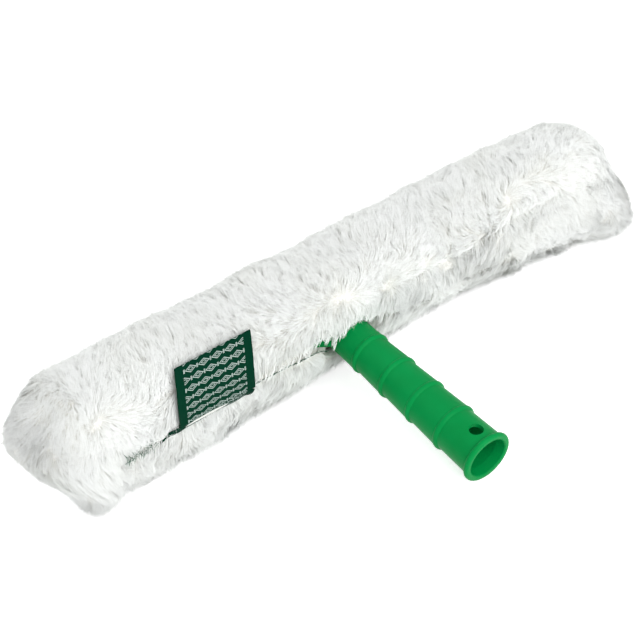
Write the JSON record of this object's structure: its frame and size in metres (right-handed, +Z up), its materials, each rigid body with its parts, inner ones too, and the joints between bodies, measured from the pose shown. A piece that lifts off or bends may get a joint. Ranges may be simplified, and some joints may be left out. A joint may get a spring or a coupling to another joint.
{
  "type": "window scrubber",
  "caption": "T-bar window scrubber with a hollow ringed handle and a removable white plush sleeve that a woven tab closes.",
  "frame": {"origin": "centre of the object's bounding box in X and Y, on the surface that it lies on", "axes": "+X along the bar, +Z up, the handle towards -Y and leaning down to the surface by about 10 degrees, as the scrubber rests on its sleeve and its rim"},
  "size_m": [0.418, 0.1856, 0.0828],
  "materials": {
    "moulded_plastic": "moulded green polypropylene, satin",
    "plush": "long white pile on a knitted backing",
    "binding_tape": "white woven tape",
    "woven_band": "dark green woven band with a pale woven pattern",
    "hook_and_loop": "white hook-and-loop strip"
  },
  "bodies": {
    "t_bar": {"t_bar": "moulded_plastic"},
    "sleeve": {"plush_panel": "plush", "left_hood": "plush", "right_hood": "plush", "upper_flap_left": "plush", "upper_flap_right": "plush", "lower_flap_left": "plush", "lower_flap_right": "plush", "upper_hem_left": "binding_tape", "upper_hem_right": "binding_tape", "lower_hem_left": "binding_tape", "lower_hem_right": "binding_tape", "tab_root": "woven_band", "loop_strip": "hook_and_loop"},
    "closure_tab": {"closure_tab": "woven_band", "hook_strip": "hook_and_loop"}
  },
  "joints": [
    {"name": "sleeve_pull_off", "type": "slide", "parent": "t_bar", "child": "sleeve", "axis": [-1, 0, 0], "range_m": [0, 0.42], "deforming": ["right_hood", "upper_flap_right", "lower_flap_right", "upper_hem_right", "lower_hem_right"]},
    {"name": "tab_open", "type": "hinge", "parent": "sleeve", "child": "closure_tab", "pos_m": [-0.107, 0.02231, 0.03494], "axis": [1, 0, 0], "range_deg": [0, 150]}
  ]
}
